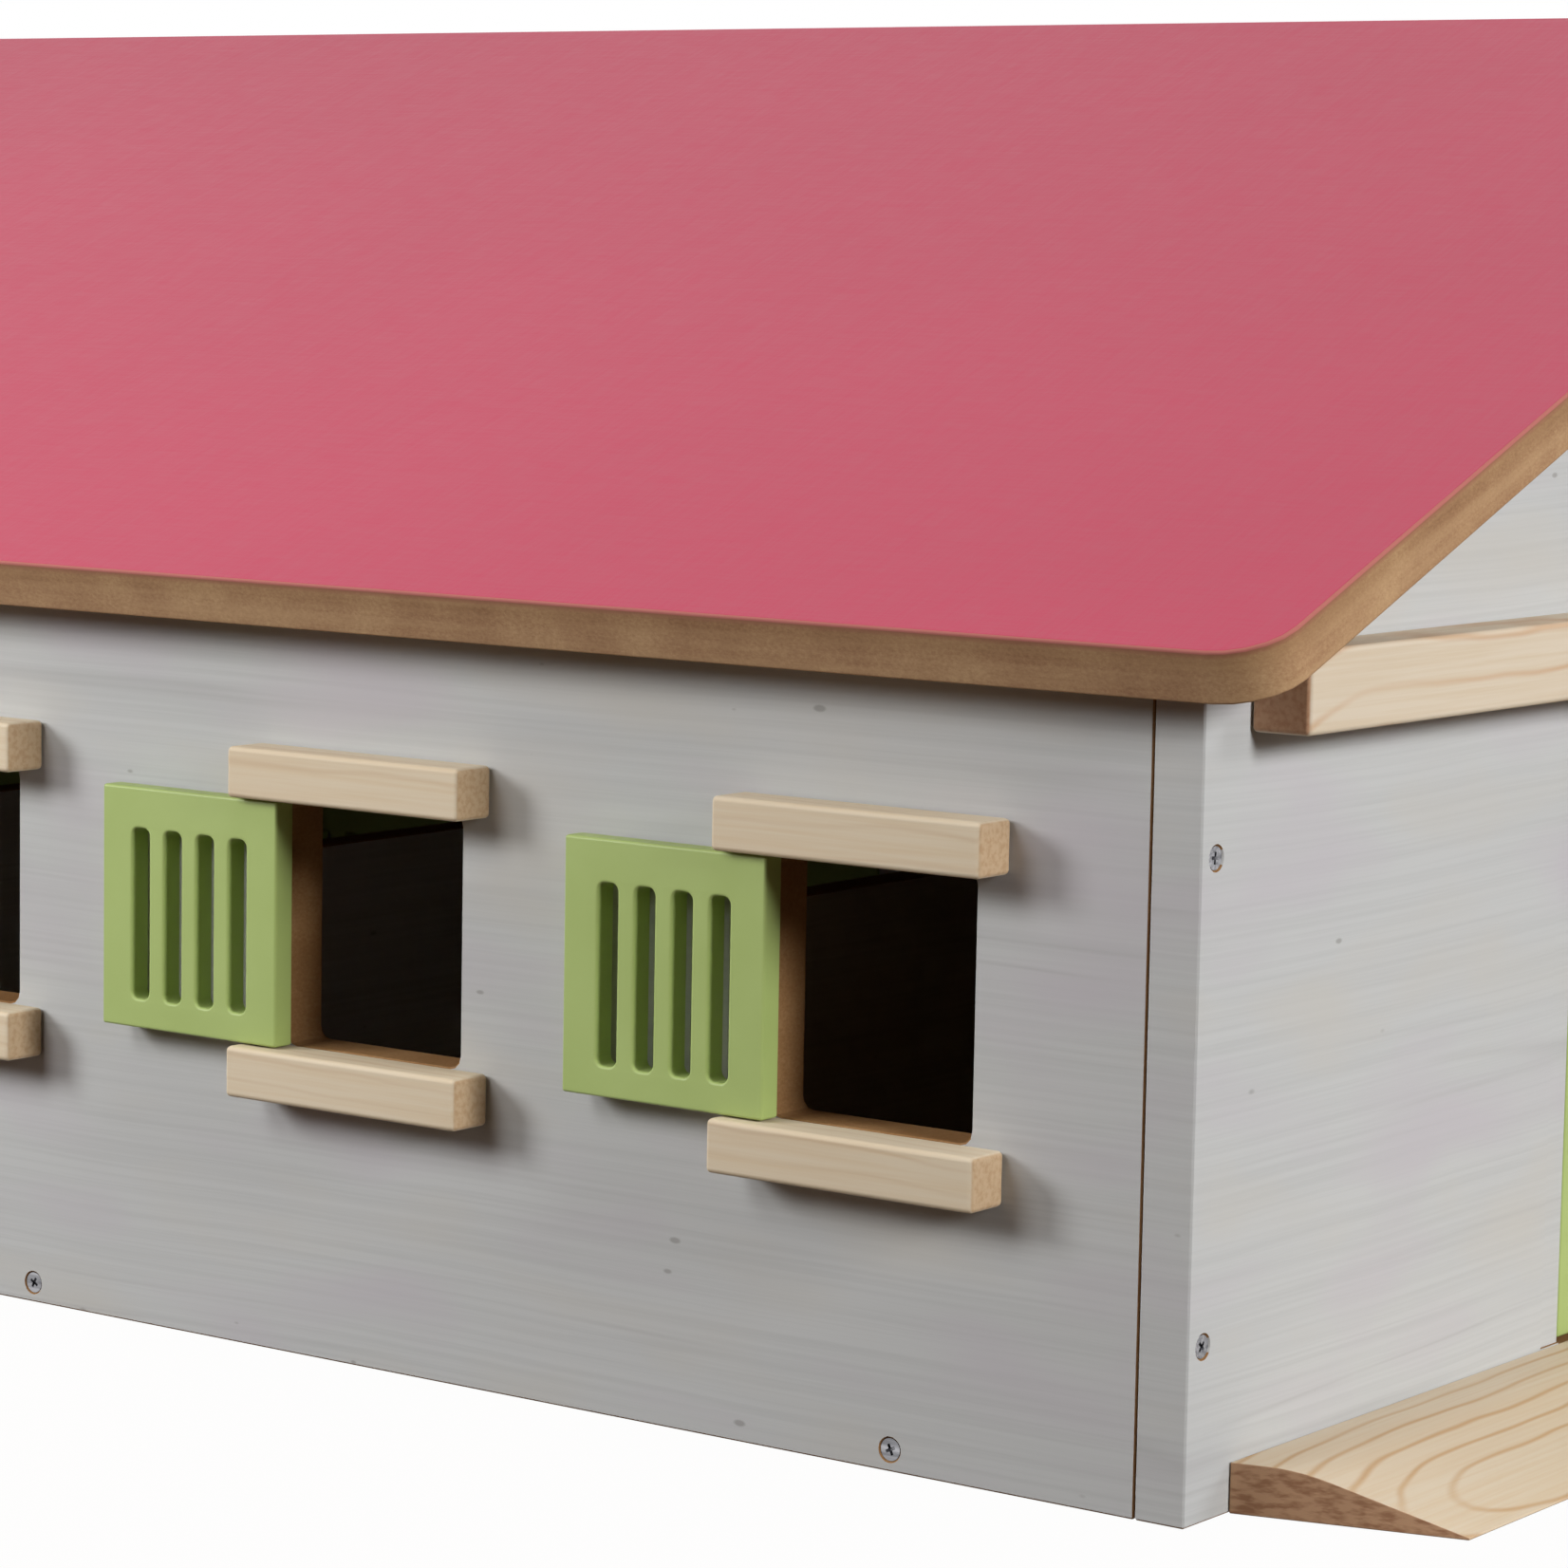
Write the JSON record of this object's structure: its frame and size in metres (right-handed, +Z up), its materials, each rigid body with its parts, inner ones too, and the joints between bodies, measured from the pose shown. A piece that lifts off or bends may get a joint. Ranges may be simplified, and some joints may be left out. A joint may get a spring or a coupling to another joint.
{
  "type": "toy horse stable",
  "caption": "Toy horse stable of boards, with a lifting roof, double front doors, shuttered windows, stalls with doors on both sides of an aisle, and an entrance ramp.",
  "frame": {"origin": "on the ground, in the middle of the box around the stable with its roof and ramp", "axes": "+Z up, -Y towards the front doors and the ramp, +X to the right of someone facing the front doors"},
  "size_m": [0.7352, 0.8008, 0.3253],
  "materials": {
    "white_panel": "white-washed wood decor on board",
    "roof_pink": "pink laminate on board",
    "pine": "bare sanded pine",
    "green": "satin green lacquer on board",
    "steel": "zinc-plated"
  },
  "bodies": {
    "house": {"back_gable": "white_panel", "doorway_beam": "pine", "entrance_ramp": "pine", "floor_board": "white_panel", "front_gable": "white_panel", "left_aisle_wall": "white_panel", "left_lintel_bar_1": "pine", "left_lintel_bar_2": "pine", "left_lintel_bar_3": "pine", "left_lintel_bar_4": "pine", "left_lintel_bar_5": "pine", "left_roof_hinge_1_beam_leaf": "steel", "left_roof_hinge_2_beam_leaf": "steel", "left_side_wall": "white_panel", "left_sill_bar_1": "pine", "left_sill_bar_2": "pine", "left_sill_bar_3": "pine", "left_sill_bar_4": "pine", "left_sill_bar_5": "pine", "ridge_beam": "pine", "right_aisle_wall": "white_panel", "right_lintel_bar_1": "pine", "right_lintel_bar_2": "pine", "right_lintel_bar_3": "pine", "right_lintel_bar_4": "pine", "right_roof_hinge_1_beam_leaf": "steel", "right_roof_hinge_2_beam_leaf": "steel", "right_side_wall": "white_panel", "right_sill_bar_1": "pine", "right_sill_bar_2": "pine", "right_sill_bar_3": "pine", "right_sill_bar_4": "pine"},
    "left_door_leaf": {"left_door_leaf": "green"},
    "left_roof": {"left_roof_hinge_1_panel_leaf": "steel", "left_roof_hinge_2_panel_leaf": "steel", "left_roof_panel": "roof_pink"},
    "left_shutter_1": {"left_shutter_1": "green"},
    "left_shutter_2": {"left_shutter_2": "green"},
    "left_shutter_3": {"left_shutter_3": "green"},
    "left_shutter_4": {"left_shutter_4": "green"},
    "left_shutter_5": {"left_shutter_5": "green"},
    "left_stall_door_1": {"left_stall_door_1": "green"},
    "left_stall_door_2": {"left_stall_door_2": "green"},
    "left_stall_door_3": {"left_stall_door_3": "green"},
    "left_stall_door_4": {"left_stall_door_4": "green"},
    "left_stall_door_5": {"left_stall_door_5": "green"},
    "right_door_leaf": {"right_door_leaf": "green"},
    "right_roof": {"right_roof_hinge_1_panel_leaf": "steel", "right_roof_hinge_2_panel_leaf": "steel", "right_roof_panel": "roof_pink"},
    "right_shutter_1": {"right_shutter_1": "green"},
    "right_shutter_2": {"right_shutter_2": "green"},
    "right_shutter_3": {"right_shutter_3": "green"},
    "right_shutter_4": {"right_shutter_4": "green"},
    "right_stall_door_1": {"right_stall_door_1": "green"},
    "right_stall_door_2": {"right_stall_door_2": "green"},
    "right_stall_door_3": {"right_stall_door_3": "green"},
    "right_stall_door_4": {"right_stall_door_4": "green"}
  },
  "joints": [
    {"name": "left_roof_hinge", "type": "hinge", "parent": "house", "child": "left_roof", "pos_m": [-0.0086, 0.013, 0.32123], "axis": [0, 1, 0], "range_deg": [0, 85]},
    {"name": "right_roof_hinge", "type": "hinge", "parent": "house", "child": "right_roof", "pos_m": [0.0086, 0.013, 0.32123], "axis": [0, -1, 0], "range_deg": [0, 85]},
    {"name": "left_door_hinge", "type": "hinge", "parent": "house", "child": "left_door_leaf", "pos_m": [-0.1787, -0.3446, 0.0115], "axis": [0, 0, -1], "range_deg": [0, 90]},
    {"name": "right_door_hinge", "type": "hinge", "parent": "house", "child": "right_door_leaf", "pos_m": [0.1787, -0.3446, 0.0115], "axis": [0, 0, 1], "range_deg": [0, 90]},
    {"name": "left_shutter_1_pin", "type": "hinge", "parent": "house", "child": "left_shutter_1", "pos_m": [-0.356, -0.2431, 0.0741], "axis": [0, 0, 1], "range_deg": [0, 180]},
    {"name": "left_shutter_2_pin", "type": "hinge", "parent": "house", "child": "left_shutter_2", "pos_m": [-0.356, -0.1019, 0.0741], "axis": [0, 0, 1], "range_deg": [0, 180]},
    {"name": "left_shutter_3_pin", "type": "hinge", "parent": "house", "child": "left_shutter_3", "pos_m": [-0.356, 0.0393, 0.0741], "axis": [0, 0, 1], "range_deg": [0, 180]},
    {"name": "left_shutter_4_pin", "type": "hinge", "parent": "house", "child": "left_shutter_4", "pos_m": [-0.356, 0.1805, 0.0741], "axis": [0, 0, 1], "range_deg": [0, 180]},
    {"name": "left_shutter_5_pin", "type": "hinge", "parent": "house", "child": "left_shutter_5", "pos_m": [-0.356, 0.3217, 0.0741], "axis": [0, 0, 1], "range_deg": [0, 180]},
    {"name": "left_stall_door_1_pin", "type": "hinge", "parent": "house", "child": "left_stall_door_1", "pos_m": [-0.1895, -0.2968, 0.0112], "axis": [0, 0, -1], "range_deg": [0, 90]},
    {"name": "left_stall_door_2_pin", "type": "hinge", "parent": "house", "child": "left_stall_door_2", "pos_m": [-0.1895, -0.1556, 0.0112], "axis": [0, 0, -1], "range_deg": [0, 90]},
    {"name": "left_stall_door_3_pin", "type": "hinge", "parent": "house", "child": "left_stall_door_3", "pos_m": [-0.1895, -0.0144, 0.0112], "axis": [0, 0, -1], "range_deg": [0, 90]},
    {"name": "left_stall_door_4_pin", "type": "hinge", "parent": "house", "child": "left_stall_door_4", "pos_m": [-0.1895, 0.1268, 0.0112], "axis": [0, 0, -1], "range_deg": [0, 90]},
    {"name": "left_stall_door_5_pin", "type": "hinge", "parent": "house", "child": "left_stall_door_5", "pos_m": [-0.1895, 0.268, 0.0112], "axis": [0, 0, -1], "range_deg": [0, 90]},
    {"name": "right_shutter_1_pin", "type": "hinge", "parent": "house", "child": "right_shutter_1", "pos_m": [0.356, -0.2957, 0.0741], "axis": [0, 0, 1], "range_deg": [0, 180]},
    {"name": "right_shutter_2_pin", "type": "hinge", "parent": "house", "child": "right_shutter_2", "pos_m": [0.356, -0.1545, 0.0741], "axis": [0, 0, 1], "range_deg": [0, 180]},
    {"name": "right_shutter_3_pin", "type": "hinge", "parent": "house", "child": "right_shutter_3", "pos_m": [0.356, -0.0133, 0.0741], "axis": [0, 0, 1], "range_deg": [0, 180]},
    {"name": "right_shutter_4_pin", "type": "hinge", "parent": "house", "child": "right_shutter_4", "pos_m": [0.356, 0.1279, 0.0741], "axis": [0, 0, 1], "range_deg": [0, 180]},
    {"name": "right_stall_door_1_pin", "type": "hinge", "parent": "house", "child": "right_stall_door_1", "pos_m": [0.1895, -0.242, 0.0112], "axis": [0, 0, -1], "range_deg": [0, 90]},
    {"name": "right_stall_door_2_pin", "type": "hinge", "parent": "house", "child": "right_stall_door_2", "pos_m": [0.1895, -0.1008, 0.0112], "axis": [0, 0, -1], "range_deg": [0, 90]},
    {"name": "right_stall_door_3_pin", "type": "hinge", "parent": "house", "child": "right_stall_door_3", "pos_m": [0.1895, 0.0404, 0.0112], "axis": [0, 0, -1], "range_deg": [0, 90]},
    {"name": "right_stall_door_4_pin", "type": "hinge", "parent": "house", "child": "right_stall_door_4", "pos_m": [0.1895, 0.1816, 0.0112], "axis": [0, 0, -1], "range_deg": [0, 90]}
  ]
}
